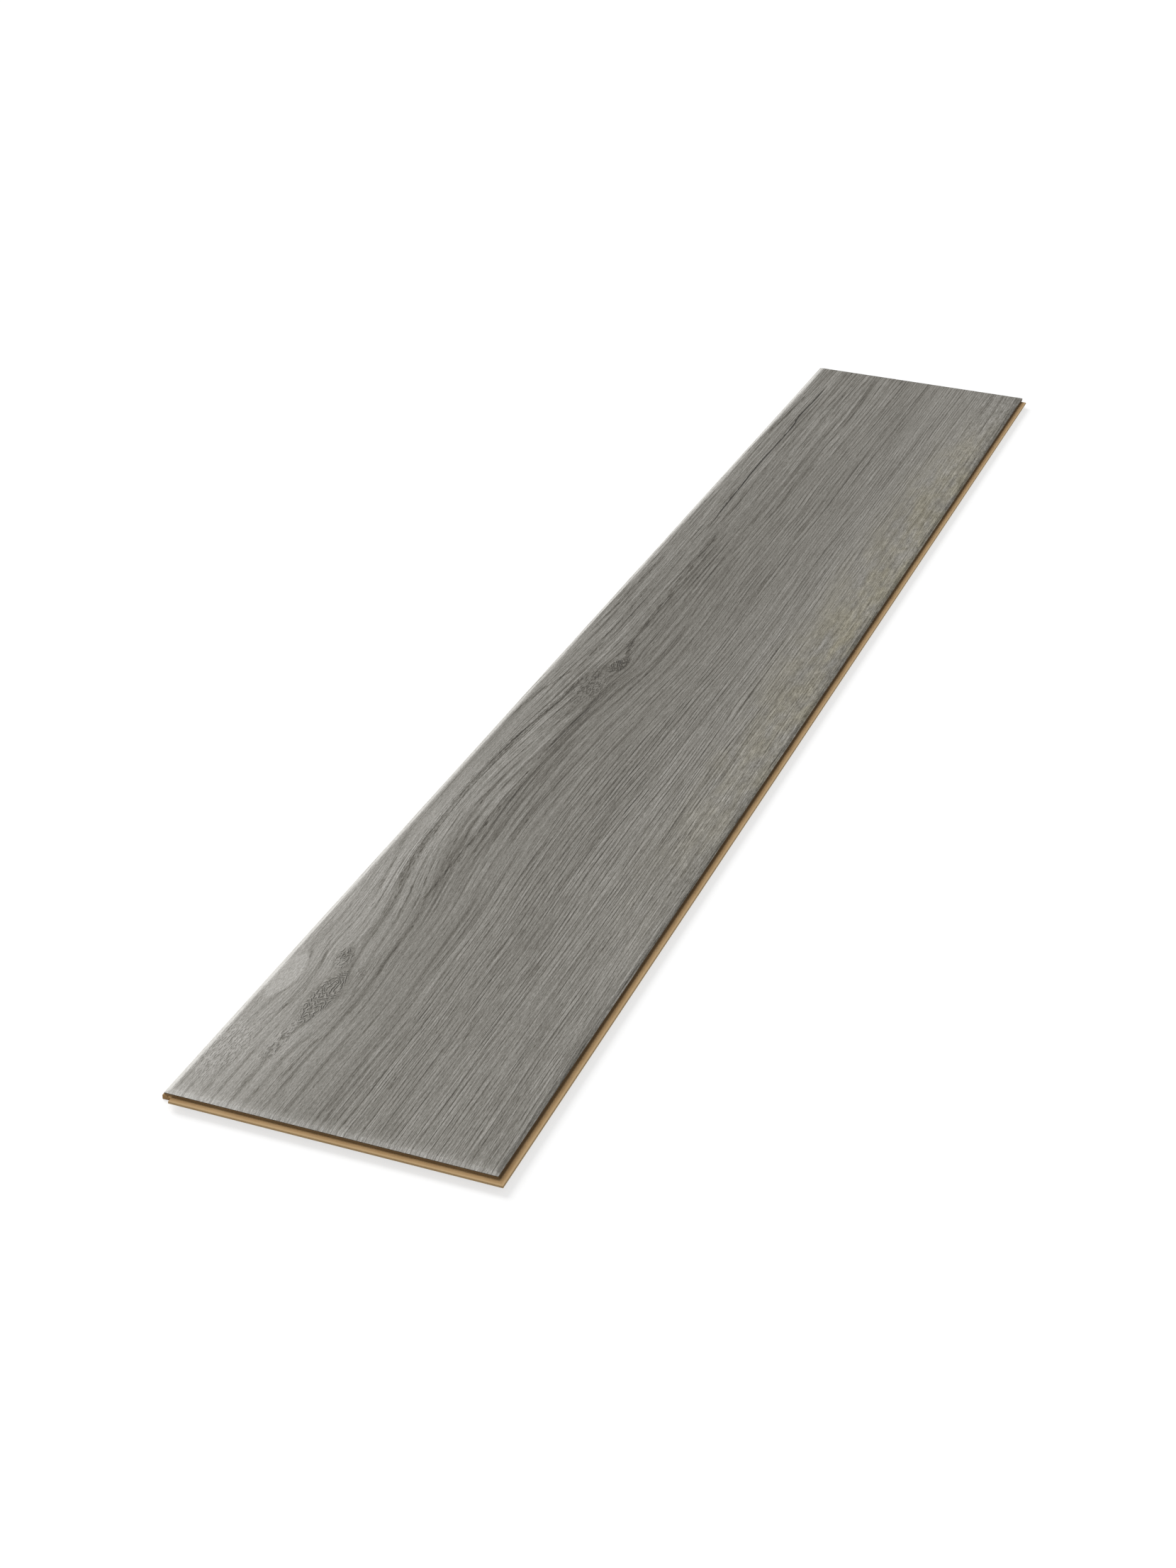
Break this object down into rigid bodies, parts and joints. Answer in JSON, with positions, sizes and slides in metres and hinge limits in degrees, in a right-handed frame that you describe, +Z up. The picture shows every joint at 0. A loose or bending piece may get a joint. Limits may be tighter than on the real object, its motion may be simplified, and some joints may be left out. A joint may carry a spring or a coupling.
{
  "type": "laminate floor plank",
  "caption": "Laminate floor plank: a grey wood-grain decor skin with bevelled edges on a fibreboard core, milled with click tongues and grooves.",
  "frame": {"origin": "on the underside, below the middle of the decor face", "axes": "+Y along the length to the grooved end, +X across to the tongued long side, +Z up out of the decor face"},
  "size_m": [0.1994, 1.2924, 0.008],
  "materials": {
    "decor": "matt embossed grey wood grain",
    "fibreboard": "milled tan fibreboard"
  },
  "bodies": {
    "root": {"decor_layer": "decor", "hdf_core": "fibreboard"}
  },
  "joints": []
}
